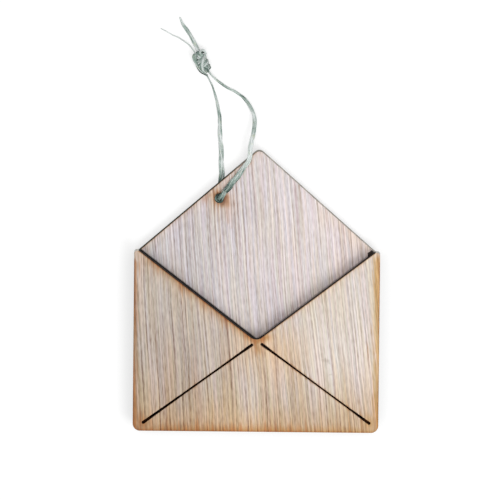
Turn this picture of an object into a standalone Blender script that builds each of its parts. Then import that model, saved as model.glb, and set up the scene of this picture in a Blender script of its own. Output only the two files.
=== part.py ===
"""Wooden money envelope: three layers of thin plywood with a loop of jute twine.

The back plate carries the pointed flap, three spacer strips stand on its sides and
bottom, and the front plate closes the pocket.  The envelope lies on its back.  The
twine comes out under the flap, so the plates lean a little on it.
Metres, +Z up, +Y towards the tip of the flap, +X to the right.
"""
import math

import bmesh
import bpy
from mathutils import Vector

# Outline of the back plate, in the plane of the plates, measured from the bottom edge.
# The flap's tip, before rounding, is a little off the middle.
BODY_WIDTH = 0.100
SIDE_HEIGHT = 0.0713
FLAP_RISE = 0.0440
TIP_OFFSET = 0.0005
CORNER_RADIUS = 0.003
SHOULDER_RADIUS = 0.0009
TIP_RADIUS = 0.0025

# The front plate is square-shouldered, and its sides stand this much higher
FRONT_RISE = 0.0033
FRONT_SHOULDER_RADIUS = 0.0012

# Layers of plywood and the glue lines between them
SHEET_THICKNESS = 0.004
SPACER_THICKNESS = 0.004
GLUE_LINE = 0.0003

# V notch of the front plate: how deep it is, and how far in from the sides it starts
NOTCH_DEPTH = 0.0373
NOTCH_TIP_INSET = 0.0018
NOTCH_RADIUS = 0.003
NOTCH_TIP_RADIUS = 0.0003

# Slits that draw the lower folds, from below the notch to the bottom corners
SLIT_WIDTH = 0.0008
SLIT_INNER_X = 0.0018
SLIT_INNER_DROP = 0.0010
SLIT_OUTER_INSET = 0.0038
SLIT_OUTER_HEIGHT = 0.0035

# Spacer strips that hold the plates apart
SPACER_WIDTH = 0.005
SPACER_JOINT_GAP = 0.0003
LEFT_SPACER_SETBACK = 0.0010
RIGHT_SPACER_OVERHANG = 0.0008

# Hole for the twine, measured from the flap's tip along its left edge and in from it
HOLE_RADIUS = 0.00175
HOLE_FROM_TIP = 0.0253
HOLE_FROM_EDGE = 0.00468

# Jute twine
TWINE_DIAMETER = 0.0012
THIN_TAIL_DIAMETER = 0.0006
TWINE_CLEARANCE = 0.0003
TWINE_BEND_RADIUS = 0.0014
TWINE_POINT_STEP = 0.0028
THREADED_REACH = 0.0034

# Knot: a core wrapped by a few turns of the doubled twine.  Stretches of it that lie
# less than this many diameters apart along it count as neighbours, not as touching.
KNOT_ROPE_DIAMETER = 0.0016
KNOT_SELF_GAP = 0.00045
KNOT_NEIGHBOUR_DIAMETERS = 2.2
KNOT_LENGTH = 0.0098
KNOT_BEND_RADIUS = 0.0011
KNOT_TURNS = 2.3
KNOT_X = -0.0079
KNOT_Y = 0.0552
KNOT_TILT = math.radians(24)
STRAND_SPREAD = 0.0019

# Anything that cuts runs this far past what it cuts
CUT_OVERRUN = 0.002

ARC_STEPS = 8
HOLE_SIDES = 48
MERGE_DISTANCE = 0.00001

# Route of the strand that lies on the table, from under the flap to the knot.
# A point is an X and Y distance from the hole's axis and, as a share, how far the
# twine has come down from the flap's face to the table.
LEFT_ROUTE = (
    (0.0006, 0.0071, 1.0), (0.0006, 0.0124, 1.0), (0.0005, 0.0186, 1.0), (0.0001, 0.0232, 1.0),
    (-0.0002, 0.0289, 1.0), (-0.0003, 0.0326, 1.0), (-0.0011, 0.0370, 1.0), (-0.0020, 0.0407, 1.0),
    (-0.0033, 0.0451, 0.97), (-0.0046, 0.0477, 0.89),
)

# Route of the strand that lies on the flap's face and comes down past the tip
RIGHT_ROUTE = (
    (0.0037, 0.0045, 0.0), (0.0053, 0.0070, 0.0), (0.0072, 0.0091, 0.0), (0.0089, 0.0114, 0.0),
    (0.0103, 0.0136, 0.0), (0.0114, 0.0152, 0.0), (0.0120, 0.0168, 0.0), (0.0123, 0.0183, 0.0),
    (0.0124, 0.0207, 0.0), (0.0127, 0.0233, 0.03), (0.0133, 0.0261, 0.14), (0.0139, 0.0290, 0.31),
    (0.0138, 0.0326, 0.55), (0.0124, 0.0364, 0.77), (0.0102, 0.0397, 0.92), (0.0076, 0.0418, 0.99),
    (0.0054, 0.0433, 1.0), (0.0028, 0.0446, 1.0), (0.0003, 0.0462, 0.98), (-0.0020, 0.0481, 0.91),
)

# Routes of the two tails that come out of the far end of the knot
LONG_TAIL_ROUTE = (
    (-0.0104, 0.0621, 0.86), (-0.0119, 0.0650, 0.95), (-0.0137, 0.0679, 1.0),
    (-0.0156, 0.0705, 1.0), (-0.0169, 0.0735, 1.0),
)
THIN_TAIL_ROUTE = (
    (-0.0129, 0.0621, 0.84), (-0.0152, 0.0637, 0.92), (-0.0173, 0.0650, 0.98),
    (-0.0195, 0.0659, 1.0), (-0.0221, 0.0674, 1.0), (-0.0246, 0.0687, 1.0),
)

PLATE_COLOUR = (0.72, 0.63, 0.54, 1.0)
FRONT_COLOUR = (0.66, 0.56, 0.45, 1.0)
SPACER_COLOUR = (0.30, 0.20, 0.12, 1.0)
TWINE_COLOUR = (0.42, 0.46, 0.37, 1.0)

HALF_WIDTH = BODY_WIDTH / 2
TIP_HEIGHT = SIDE_HEIGHT + FLAP_RISE
TWINE_RADIUS = TWINE_DIAMETER / 2
SPACER_FLOOR = SHEET_THICKNESS + GLUE_LINE
FRONT_FLOOR = SPACER_FLOOR + SPACER_THICKNESS + GLUE_LINE
FRONT_FACE = FRONT_FLOOR + SHEET_THICKNESS
FRONT_HEIGHT = SIDE_HEIGHT + FRONT_RISE
NOTCH_BOTTOM = FRONT_HEIGHT - NOTCH_DEPTH
NOTCH_TIP_X = HALF_WIDTH - NOTCH_TIP_INSET
NOTCH_SLOPE = NOTCH_DEPTH / NOTCH_TIP_X
LEFT_EDGE = Vector((-HALF_WIDTH - TIP_OFFSET, -FLAP_RISE)).normalized()
HOLE_X = TIP_OFFSET + LEFT_EDGE.x * HOLE_FROM_TIP - LEFT_EDGE.y * HOLE_FROM_EDGE
HOLE_HEIGHT = TIP_HEIGHT + LEFT_EDGE.y * HOLE_FROM_TIP + LEFT_EDGE.x * HOLE_FROM_EDGE
KNOT_WRAP_RADIUS = KNOT_ROPE_DIAMETER + KNOT_SELF_GAP
KNOT_PITCH = KNOT_WRAP_RADIUS

# The plates lean on the twine that comes out under the hole
LEAN = math.asin((TWINE_DIAMETER + TWINE_CLEARANCE) / (HOLE_HEIGHT - HOLE_RADIUS))


def clear_scene():
    for item in list(bpy.data.objects):
        bpy.data.objects.remove(item, do_unlink=True)


def new_collection(name):
    collection = bpy.data.collections.new(name)
    bpy.context.scene.collection.children.link(collection)
    return collection


def new_material(name, colour, roughness, metallic=0.0):
    material = bpy.data.materials.new(name)
    material.use_nodes = True
    shader = material.node_tree.nodes["Principled BSDF"]
    shader.inputs["Base Color"].default_value = colour
    shader.inputs["Roughness"].default_value = roughness
    shader.inputs["Metallic"].default_value = metallic
    material.diffuse_color = colour
    return material


def rounded_outline(corners):
    """Points of a closed outline.  Each corner is x, y and the radius of its round."""
    points = []
    count = len(corners)
    for index, (x, y, radius) in enumerate(corners):
        corner = Vector((x, y))
        before = Vector(corners[index - 1][:2])
        after = Vector(corners[(index + 1) % count][:2])
        if radius == 0:
            points.append(corner)
            continue
        back = (before - corner).normalized()
        ahead = (after - corner).normalized()
        half_angle = back.angle(ahead) / 2
        centre = corner + (back + ahead).normalized() * (radius / math.sin(half_angle))
        start = corner + back * (radius / math.tan(half_angle)) - centre
        end = corner + ahead * (radius / math.tan(half_angle)) - centre
        sweep = start.angle_signed(end)
        for step in range(ARC_STEPS + 1):
            angle = -sweep * step / ARC_STEPS
            turned = Vector((
                start.x * math.cos(angle) - start.y * math.sin(angle),
                start.x * math.sin(angle) + start.y * math.cos(angle),
            ))
            points.append(centre + turned)
    return points


def sheet_from_outline(name, points, floor, thickness, collection):
    """A flat plate: a filled outline, extruded, with its caps welded."""
    curve = bpy.data.curves.new(name + "_outline", "CURVE")
    curve.dimensions = "2D"
    curve.fill_mode = "BOTH"
    curve.extrude = thickness / 2
    spline = curve.splines.new("POLY")
    spline.points.add(len(points) - 1)
    for slot, point in zip(spline.points, points):
        slot.co = (point[0], point[1], 0, 1)
    spline.use_cyclic_u = True
    outline = bpy.data.objects.new(name + "_outline", curve)
    outline.location = (0, 0, floor + thickness / 2)
    collection.objects.link(outline)
    return mesh_from_curve(name, outline, collection)


def mesh_from_curve(name, curve_object, collection):
    """Replace a curve object by a closed mesh object at the same place."""
    bpy.context.view_layer.update()
    graph = bpy.context.evaluated_depsgraph_get()
    mesh = bpy.data.meshes.new_from_object(curve_object.evaluated_get(graph))
    mesh.name = name
    shape = bmesh.new()
    shape.from_mesh(mesh)
    bmesh.ops.remove_doubles(shape, verts=shape.verts, dist=MERGE_DISTANCE)
    bmesh.ops.recalc_face_normals(shape, faces=shape.faces)
    shape.to_mesh(mesh)
    shape.free()
    solid = bpy.data.objects.new(name, mesh)
    solid.matrix_world = curve_object.matrix_world.copy()
    collection.objects.link(solid)
    bpy.data.objects.remove(curve_object, do_unlink=True)
    return solid


def cut(target, cutter):
    """Subtract a cutter and keep the modifier on the target."""
    modifier = target.modifiers.new(cutter.name, "BOOLEAN")
    modifier.operation = "DIFFERENCE"
    modifier.solver = "EXACT"
    modifier.object = cutter


def as_cutter(item, parent):
    item.hide_render = True
    item.display_type = "WIRE"
    item.parent = parent


def finish(item, material, parent):
    item.data.materials.clear()
    item.data.materials.append(material)
    item.parent = parent


def notch_meets_flap(side, lift):
    """Corner where a line along the notch, lifted a little, meets the flap's edge."""
    flap_slope = FLAP_RISE / (HALF_WIDTH - side * TIP_OFFSET)
    span = SIDE_HEIGHT + flap_slope * HALF_WIDTH - NOTCH_BOTTOM - lift
    x = span / (NOTCH_SLOPE + flap_slope)
    return side * x, NOTCH_BOTTOM + lift + NOTCH_SLOPE * x


def outline_with_top(side_height, shoulder_radius, top_corners):
    """The square bottom and sides of a plate with the given corners between its shoulders."""
    return rounded_outline([
        (-HALF_WIDTH, 0, CORNER_RADIUS),
        (HALF_WIDTH, 0, CORNER_RADIUS),
        (HALF_WIDTH, side_height, shoulder_radius),
        *top_corners,
        (-HALF_WIDTH, side_height, shoulder_radius),
    ])


def back_outline():
    return outline_with_top(SIDE_HEIGHT, SHOULDER_RADIUS, [(TIP_OFFSET, TIP_HEIGHT, TIP_RADIUS)])


def make_back_plate(parts, cutters, material, parent):
    plate = sheet_from_outline("back_plate", back_outline(), 0, SHEET_THICKNESS, parts)
    bpy.ops.mesh.primitive_cylinder_add(
        vertices=HOLE_SIDES,
        radius=HOLE_RADIUS,
        depth=SHEET_THICKNESS + 2 * CUT_OVERRUN,
        location=(HOLE_X, HOLE_HEIGHT, SHEET_THICKNESS / 2),
    )
    drill = bpy.context.object
    drill.name = "twine_hole_cutter"
    for collection in list(drill.users_collection):
        collection.objects.unlink(drill)
    cutters.objects.link(drill)
    as_cutter(drill, parent)
    cut(plate, drill)
    finish(plate, material, parent)


def slit_outline(side):
    """A long slot with round ends, from near the notch to near a bottom corner."""
    inner = Vector((side * SLIT_INNER_X, NOTCH_BOTTOM - SLIT_INNER_DROP))
    outer = Vector((side * (HALF_WIDTH - SLIT_OUTER_INSET), SLIT_OUTER_HEIGHT))
    along = (outer - inner).normalized()
    across = Vector((-along.y, along.x))
    points = []
    for end, start_angle in ((outer, -math.pi / 2), (inner, math.pi / 2)):
        for step in range(ARC_STEPS + 1):
            angle = start_angle + math.pi * step / ARC_STEPS
            reach = along * math.cos(angle) + across * math.sin(angle)
            points.append(end + reach * (SLIT_WIDTH / 2))
    return points


def make_front_plate(parts, cutters, material, parent):
    outline = outline_with_top(FRONT_HEIGHT, FRONT_SHOULDER_RADIUS, [
        (NOTCH_TIP_X, FRONT_HEIGHT, NOTCH_TIP_RADIUS),
        (0, NOTCH_BOTTOM, NOTCH_RADIUS),
        (-NOTCH_TIP_X, FRONT_HEIGHT, NOTCH_TIP_RADIUS),
    ])
    plate = sheet_from_outline("front_plate", outline, FRONT_FLOOR, SHEET_THICKNESS, parts)
    for side, word in ((-1, "left"), (1, "right")):
        slit = sheet_from_outline(
            word + "_slit_cutter",
            slit_outline(side),
            FRONT_FLOOR - CUT_OVERRUN,
            SHEET_THICKNESS + 2 * CUT_OVERRUN,
            cutters,
        )
        as_cutter(slit, parent)
        cut(plate, slit)
    finish(plate, material, parent)


def make_spacers(parts, material, parent):
    """Strips along the bottom and the sides, the side ones cut along the notch."""
    inner_x = HALF_WIDTH - SPACER_WIDTH
    foot = SPACER_WIDTH + SPACER_JOINT_GAP
    strips = [("spacer_strip_bottom", [
        (-HALF_WIDTH, 0, CORNER_RADIUS),
        (HALF_WIDTH, 0, CORNER_RADIUS),
        (HALF_WIDTH, SPACER_WIDTH, 0),
        (-HALF_WIDTH, SPACER_WIDTH, 0),
    ])]
    for side, word, lift in ((-1, "left", -LEFT_SPACER_SETBACK), (1, "right", RIGHT_SPACER_OVERHANG)):
        corners = [
            (side * inner_x, foot, 0),
            (side * HALF_WIDTH, foot, 0),
            (side * HALF_WIDTH, SIDE_HEIGHT, SHOULDER_RADIUS),
            (*notch_meets_flap(side, lift), 0),
            (side * inner_x, NOTCH_BOTTOM + NOTCH_SLOPE * inner_x + lift, 0),
        ]
        strips.append(("spacer_strip_" + word, corners))
    for name, corners in strips:
        strip = sheet_from_outline(
            name, rounded_outline(corners), SPACER_FLOOR, SPACER_THICKNESS, parts)
        finish(strip, material, parent)


def smooth_route(points, step):
    """Points about a step apart on a smooth curve through the route's own points."""
    substeps = 24
    padded = [2 * points[0] - points[1], *points, 2 * points[-1] - points[-2]]
    fine = []
    for before, start, end, after in zip(padded, padded[1:], padded[2:], padded[3:]):
        for substep in range(substeps):
            t = substep / substeps
            fine.append(0.5 * (
                2 * start
                + (end - before) * t
                + (2 * before - 5 * start + 4 * end - after) * t ** 2
                + (3 * start - 3 * end + after - before) * t ** 3
            ))
    fine.append(points[-1].copy())
    run = [0.0]
    for start, end in zip(fine, fine[1:]):
        run.append(run[-1] + (end - start).length)
    count = max(3, round(run[-1] / step) + 1)
    even = []
    index = 0
    for number in range(count):
        target = run[-1] * number / (count - 1)
        while index < len(fine) - 2 and run[index + 1] < target:
            index += 1
        share = (target - run[index]) / (run[index + 1] - run[index])
        even.append(fine[index].lerp(fine[index + 1], share))
    return even


def make_tube(name, points, diameter, parts, material, parent):
    """A round tube along the points, closed at both ends."""
    curve = bpy.data.curves.new(name + "_route", "CURVE")
    curve.dimensions = "3D"
    curve.bevel_depth = diameter / 2
    curve.bevel_resolution = 2
    curve.use_fill_caps = True
    spline = curve.splines.new("POLY")
    spline.points.add(len(points) - 1)
    for slot, point in zip(spline.points, points):
        slot.co = (point.x, point.y, point.z, 1)
    route = bpy.data.objects.new(name + "_route", curve)
    parts.objects.link(route)
    tube = mesh_from_curve(name, route, parts)
    tube.data.shade_smooth()
    tube.data.set_sharp_from_angle(angle=math.radians(60))
    finish(tube, material, parent)


def table_share_height(share, over_flap_z, radius):
    """Height of a middle line that has come down this share of the way."""
    return over_flap_z + (radius - over_flap_z) * share


def route_points(route, over_flap_z, radius):
    return [Vector((x, y, table_share_height(share, over_flap_z, radius))) for x, y, share in route]


def threaded_points(over_flap_z):
    """Over the flap's rim, straight down the hole and out under the plate."""
    front_way = Vector((*RIGHT_ROUTE[0][:2], 0)).normalized()
    rear_way = Vector((*LEFT_ROUTE[0][:2], 0)).normalized()
    up = Vector((0, 0, 1))
    arc_steps = 5
    front_arc = []
    rear_arc = []
    for step in range(arc_steps + 1):
        angle = math.pi / 2 * step / arc_steps
        aside = TWINE_BEND_RADIUS * (1 - math.cos(angle))
        bow = TWINE_BEND_RADIUS * (1 - math.sin(angle))
        front_arc.append(front_way * aside + up * (over_flap_z - bow))
        rear_arc.append(rear_way * aside + up * (TWINE_RADIUS + bow))
    front_end = front_way * THREADED_REACH + up * over_flap_z
    rear_end = rear_way * THREADED_REACH + up * TWINE_RADIUS
    return [front_end, *reversed(front_arc), *rear_arc, rear_end]


def knot_frame():
    """Middle of the knot and its directions: along, towards the tails, and across."""
    middle = Vector((KNOT_X, KNOT_Y, KNOT_WRAP_RADIUS + KNOT_ROPE_DIAMETER / 2))
    along = Vector((-math.sin(KNOT_TILT), math.cos(KNOT_TILT), 0))
    across = Vector((math.cos(KNOT_TILT), math.sin(KNOT_TILT), 0))
    return middle, along, across


def knot_points():
    """A straight core that turns back at the tails' end and winds round itself."""
    middle, along, across = knot_frame()
    up = Vector((0, 0, 1))
    core_steps = 5
    crown_steps = 7
    bend_steps = 4
    steps_per_turn = 13
    crown_radius = KNOT_WRAP_RADIUS / 2
    foot = -KNOT_LENGTH / 2
    crown_height = KNOT_LENGTH / 2 - KNOT_ROPE_DIAMETER / 2 - crown_radius

    # Each place is a height along the knot, a distance from its middle line and a turn
    places = []
    for step in range(core_steps):
        places.append((foot + (crown_height - foot) * step / core_steps, 0, 0))
    for step in range(crown_steps + 1):
        angle = math.pi * step / crown_steps
        places.append((
            crown_height + crown_radius * math.sin(angle),
            crown_radius * (1 - math.cos(angle)),
            0,
        ))
    for step in range(1, bend_steps + 1):
        angle = math.pi / 2 * step / bend_steps
        sideways = KNOT_BEND_RADIUS * (1 - math.cos(angle))
        places.append((
            crown_height - KNOT_BEND_RADIUS * math.sin(angle),
            KNOT_WRAP_RADIUS,
            sideways / KNOT_WRAP_RADIUS,
        ))
    last_height, _, last_turn = places[-1]
    for step in range(1, round(KNOT_TURNS * steps_per_turn) + 1):
        turns = step / steps_per_turn
        places.append((
            last_height - KNOT_PITCH * turns,
            KNOT_WRAP_RADIUS,
            last_turn + 2 * math.pi * turns,
        ))
    return [
        middle + along * height + across * (radius * math.cos(turn)) + up * (radius * math.sin(turn))
        for height, radius, turn in places
    ]


def least_self_gap(points, diameter):
    """Smallest gap between stretches of a tube that are not neighbours on it."""
    run = [0.0]
    for start, end in zip(points, points[1:]):
        run.append(run[-1] + (end - start).length)
    least = None
    for first in range(len(points)):
        for second in range(first + 1, len(points)):
            if run[second] - run[first] < KNOT_NEIGHBOUR_DIAMETERS * diameter:
                continue
            gap = (points[second] - points[first]).length - diameter
            least = gap if least is None else min(least, gap)
    return least


def knot_port(end, offset, height):
    """Where a strand or a tail meets the knot's end face, with the touching gap."""
    middle, along, across = knot_frame()
    reach = KNOT_LENGTH / 2 + TWINE_CLEARANCE
    port = middle + along * (end * reach) + across * offset
    port.z = height
    return port


def make_twine(parts, material, parent, over_flap_z):
    make_tube("twine_threaded", threaded_points(over_flap_z), TWINE_DIAMETER, parts, material, parent)
    past_threaded = THREADED_REACH + TWINE_CLEARANCE
    entry_z = 2 * TWINE_DIAMETER
    for name, route, offset in (
        ("twine_left_strand", LEFT_ROUTE, -STRAND_SPREAD / 2),
        ("twine_right_strand", RIGHT_ROUTE, STRAND_SPREAD / 2),
    ):
        middle_line = route_points(route, over_flap_z, TWINE_RADIUS)
        way = Vector((middle_line[0].x, middle_line[0].y, 0)).normalized()
        start = way * past_threaded + Vector((0, 0, middle_line[0].z))
        line = [start, *middle_line, knot_port(-1, offset, entry_z)]
        make_tube(name, smooth_route(line, TWINE_POINT_STEP), TWINE_DIAMETER, parts, material, parent)
    for name, route, diameter, offset in (
        ("twine_long_tail", LONG_TAIL_ROUTE, TWINE_DIAMETER, STRAND_SPREAD / 3),
        ("twine_thin_tail", THIN_TAIL_ROUTE, THIN_TAIL_DIAMETER, -STRAND_SPREAD / 2),
    ):
        middle_line = route_points(route, over_flap_z, diameter / 2)
        line = [knot_port(1, offset, entry_z), *middle_line]
        make_tube(name, smooth_route(line, TWINE_POINT_STEP), diameter, parts, material, parent)
    knot = knot_points()
    print("knot's least gap to itself, mm:", round(least_self_gap(knot, KNOT_ROPE_DIAMETER) * 1000, 3))
    make_tube("twine_knot", knot, KNOT_ROPE_DIAMETER, parts, material, parent)


def main():
    clear_scene()
    parts = new_collection("wooden_money_envelope")
    cutters = new_collection("cutters")

    # The plates' frame stands at the middle of the bottom edge and leans about it
    tip_top = max(point.y for point in back_outline())
    base_y = -(tip_top * math.cos(LEAN) - FRONT_FACE * math.sin(LEAN)) / 2
    envelope = bpy.data.objects.new("envelope", None)
    envelope.location = (0, base_y, 0)
    envelope.rotation_euler = (LEAN, 0, 0)
    parts.objects.link(envelope)
    make_back_plate(parts, cutters, new_material("back_veneer", PLATE_COLOUR, 0.7), envelope)
    make_front_plate(parts, cutters, new_material("front_veneer", FRONT_COLOUR, 0.7), envelope)
    make_spacers(parts, new_material("spacer_wood", SPACER_COLOUR, 0.8), envelope)

    # The twine's frame stands on the table, on the upright axis through the hole
    hole_y = base_y + HOLE_HEIGHT * math.cos(LEAN) - SHEET_THICKNESS / 2 * math.sin(LEAN)
    over_flap_z = (
        tip_top * math.sin(LEAN) + SHEET_THICKNESS * math.cos(LEAN) + TWINE_CLEARANCE + TWINE_RADIUS
    )
    twine_pivot = bpy.data.objects.new("twine_pivot", None)
    twine_pivot.location = (HOLE_X, hole_y, 0)
    parts.objects.link(twine_pivot)
    make_twine(parts, new_material("jute", TWINE_COLOUR, 0.9), twine_pivot, over_flap_z)


main()
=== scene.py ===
import math
import random

import bmesh
import bpy
from mathutils import Matrix, Vector


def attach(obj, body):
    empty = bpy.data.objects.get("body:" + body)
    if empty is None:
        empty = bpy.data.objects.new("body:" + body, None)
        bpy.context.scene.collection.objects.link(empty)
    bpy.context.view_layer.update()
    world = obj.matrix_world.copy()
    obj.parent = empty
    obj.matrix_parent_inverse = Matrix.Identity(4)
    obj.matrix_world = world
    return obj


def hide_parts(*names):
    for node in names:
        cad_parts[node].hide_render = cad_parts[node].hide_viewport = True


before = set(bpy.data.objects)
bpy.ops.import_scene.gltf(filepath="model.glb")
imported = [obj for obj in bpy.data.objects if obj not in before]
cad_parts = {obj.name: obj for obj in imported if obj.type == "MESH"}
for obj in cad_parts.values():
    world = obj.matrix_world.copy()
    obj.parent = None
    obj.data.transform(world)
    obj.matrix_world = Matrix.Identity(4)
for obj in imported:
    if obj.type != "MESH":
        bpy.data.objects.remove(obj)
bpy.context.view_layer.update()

# Sizes of the part in metres, as its own source has them.  Only the notch's round and
# the slits differ a little, because here they follow the photograph more closely.
HALF_WIDTH = 0.050
SIDE_HEIGHT = 0.0713
FLAP_RISE = 0.0440
TIP_OFFSET = 0.0005
CORNER_RADIUS = 0.003
SHOULDER_RADIUS = 0.0009
TIP_RADIUS = 0.0025
FRONT_RISE = 0.0033
FRONT_SHOULDER_RADIUS = 0.0012
SHEET = 0.004
GLUE_LINE = 0.0003
NOTCH_DEPTH = 0.0373
NOTCH_TIP_INSET = 0.0018
NOTCH_RADIUS = 0.0037
NOTCH_TIP_RADIUS = 0.0003
SPACER_WIDTH = 0.005
SPACER_JOINT_GAP = 0.0003
LEFT_SPACER_LIFT = -0.0010
RIGHT_SPACER_LIFT = 0.0008
HOLE_RADIUS = 0.00175
HOLE_FROM_TIP = 0.0253
HOLE_FROM_EDGE = 0.00468

TWINE_DIAMETER = 0.0012
THIN_TAIL_DIAMETER = 0.0006
TWINE_GAP = 0.0003
BEND_RADIUS = 0.0014
THREADED_REACH = 0.0034
KNOT_PLACE = (-0.0079, 0.0552)
KNOT_TILT = math.radians(24)
KNOT_WRAP_RADIUS = 0.00205
KNOT_LENGTH = 0.0098
STRAND_SPREAD = 0.0019

# What follows from them
FRONT_FLOOR = SHEET + GLUE_LINE + SHEET + GLUE_LINE
FRONT_FACE = FRONT_FLOOR + SHEET
TIP_HEIGHT = SIDE_HEIGHT + FLAP_RISE
FRONT_HEIGHT = SIDE_HEIGHT + FRONT_RISE
NOTCH_BOTTOM = FRONT_HEIGHT - NOTCH_DEPTH
NOTCH_TIP_X = HALF_WIDTH - NOTCH_TIP_INSET
NOTCH_SLOPE = NOTCH_DEPTH / NOTCH_TIP_X
# Each slit as it was cut: its inner and outer end, and its widths from one to the other
LEFT_SLIT = ((-0.0018, NOTCH_BOTTOM - 0.0013), (-0.0457, 0.0035))
RIGHT_SLIT = ((0.0023, NOTCH_BOTTOM - 0.0010), (0.0462, 0.0040))
LEFT_SLIT_WIDTHS = (0.00113, 0.00082, 0.00075, 0.00081, 0.00096, 0.00130)
RIGHT_SLIT_WIDTHS = (0.00110, 0.00079, 0.00063, 0.00065, 0.00070, 0.00124)
LEFT_EDGE = Vector((-HALF_WIDTH - TIP_OFFSET, -FLAP_RISE)).normalized()
HOLE_X = TIP_OFFSET + LEFT_EDGE.x * HOLE_FROM_TIP - LEFT_EDGE.y * HOLE_FROM_EDGE
HOLE_HEIGHT = TIP_HEIGHT + LEFT_EDGE.y * HOLE_FROM_TIP + LEFT_EDGE.x * HOLE_FROM_EDGE
LEAN = math.asin((TWINE_DIAMETER + TWINE_GAP) / (HOLE_HEIGHT - HOLE_RADIUS))
TABLE_Z = TWINE_DIAMETER / 2
UP = Vector((0, 0, 1))

# The photograph: its frame, the scale on the object and the place it is seen from
IMAGE_PIXELS = 500
PIXELS_PER_METRE = 2455
CAMERA_DISTANCE = 8.0
CAMERA_TILT = math.radians(9.7)
CAMERA_ROLL = math.radians(0.57)
LOOK_AT_X = -0.00293
LOOK_AT_UP = 0.0154
SENSOR_WIDTH = 36.0
CLIP_RANGE = (0.05, 20)

# Routes of the twine, from the part: X and Y from the hole's axis, and the share of the
# way down from the flap's face to the table
LEFT_ROUTE = (
    (0.0006, 0.0071, 1.0), (0.0006, 0.0124, 1.0), (0.0005, 0.0186, 1.0), (0.0001, 0.0232, 1.0),
    (-0.0002, 0.0289, 1.0), (-0.0003, 0.0326, 1.0), (-0.0011, 0.0370, 1.0), (-0.0020, 0.0407, 1.0),
    (-0.0033, 0.0451, 0.97), (-0.0046, 0.0477, 0.89),
)
RIGHT_ROUTE = (
    (0.0037, 0.0045, 0.0), (0.0053, 0.0070, 0.0), (0.0072, 0.0091, 0.0), (0.0089, 0.0114, 0.0),
    (0.0103, 0.0136, 0.0), (0.0114, 0.0152, 0.0), (0.0120, 0.0168, 0.0), (0.0123, 0.0183, 0.0),
    (0.0124, 0.0207, 0.0), (0.0127, 0.0233, 0.03), (0.0133, 0.0261, 0.14), (0.0139, 0.0290, 0.31),
    (0.0138, 0.0326, 0.55), (0.0124, 0.0364, 0.77), (0.0102, 0.0397, 0.92), (0.0076, 0.0418, 0.99),
    (0.0054, 0.0433, 1.0), (0.0028, 0.0446, 1.0), (0.0003, 0.0462, 0.98), (-0.0020, 0.0481, 0.91),
)
LONG_TAIL_ROUTE = (
    (-0.0104, 0.0621, 0.86), (-0.0119, 0.0650, 0.95), (-0.0137, 0.0679, 1.0),
    (-0.0156, 0.0705, 1.0), (-0.0169, 0.0735, 1.0),
)
THIN_TAIL_ROUTE = (
    (-0.0129, 0.0621, 0.84), (-0.0152, 0.0637, 0.92), (-0.0173, 0.0650, 0.98),
    (-0.0195, 0.0659, 1.0), (-0.0221, 0.0674, 1.0), (-0.0246, 0.0687, 1.0),
)


def srgb(red, green, blue):
    """A colour given as it looks on a screen, 0 to 255, as linear values."""
    shares = [value / 255 for value in (red, green, blue)]
    linear = [share / 12.92 if share <= 0.04045 else ((share + 0.055) / 1.055) ** 2.4 for share in shares]
    return (*linear, 1.0)


def add_object(name, data):
    made = bpy.data.objects.new(name, data)
    bpy.context.scene.collection.objects.link(made)
    return made


def make_camera():
    """A long lens over the flap's side, with the object's small turn in the picture."""
    data = bpy.data.cameras.new("photo_camera")
    data.sensor_width = SENSOR_WIDTH
    data.lens = SENSOR_WIDTH * CAMERA_DISTANCE * PIXELS_PER_METRE / IMAGE_PIXELS
    data.clip_start, data.clip_end = CLIP_RANGE
    camera = add_object("photo_camera", data)
    tilt = Matrix.Rotation(-CAMERA_TILT, 4, "X")
    place = Matrix.Translation((LOOK_AT_X, LOOK_AT_UP, CAMERA_DISTANCE))
    camera.matrix_world = tilt @ place @ Matrix.Rotation(CAMERA_ROLL, 4, "Z")
    bpy.context.scene.camera = camera


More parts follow.
